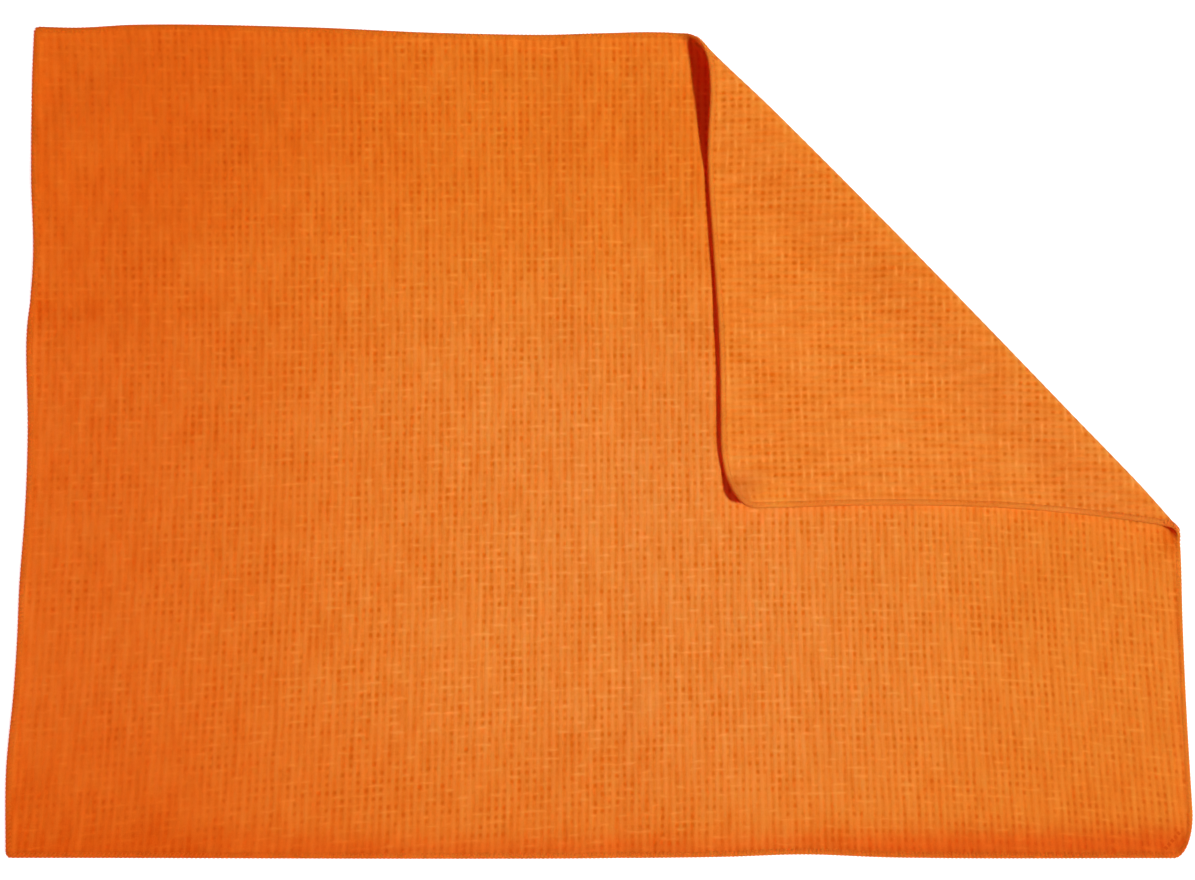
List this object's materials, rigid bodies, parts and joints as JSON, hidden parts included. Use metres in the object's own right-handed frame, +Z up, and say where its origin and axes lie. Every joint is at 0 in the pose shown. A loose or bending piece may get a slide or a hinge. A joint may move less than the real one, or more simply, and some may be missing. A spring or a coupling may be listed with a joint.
{
  "type": "microfiber drying towel",
  "caption": "Waffle-weave microfibre drying towel with an overlocked hem, lying flat with a corner folded over diagonally onto its face.",
  "frame": {"origin": "centre of the towel's bounding box, on the plane that the cloth lies on", "axes": "+X along the towel's long side, towards the end with the folded corner; +Y across it, towards the side with the folded corner; +Z up from the surface that it lies on"},
  "size_m": [0.704, 0.5026, 0.0151],
  "materials": {
    "microfibre": "matte waffle weave"
  },
  "bodies": {
    "root": {"towel": "microfibre"}
  },
  "joints": []
}
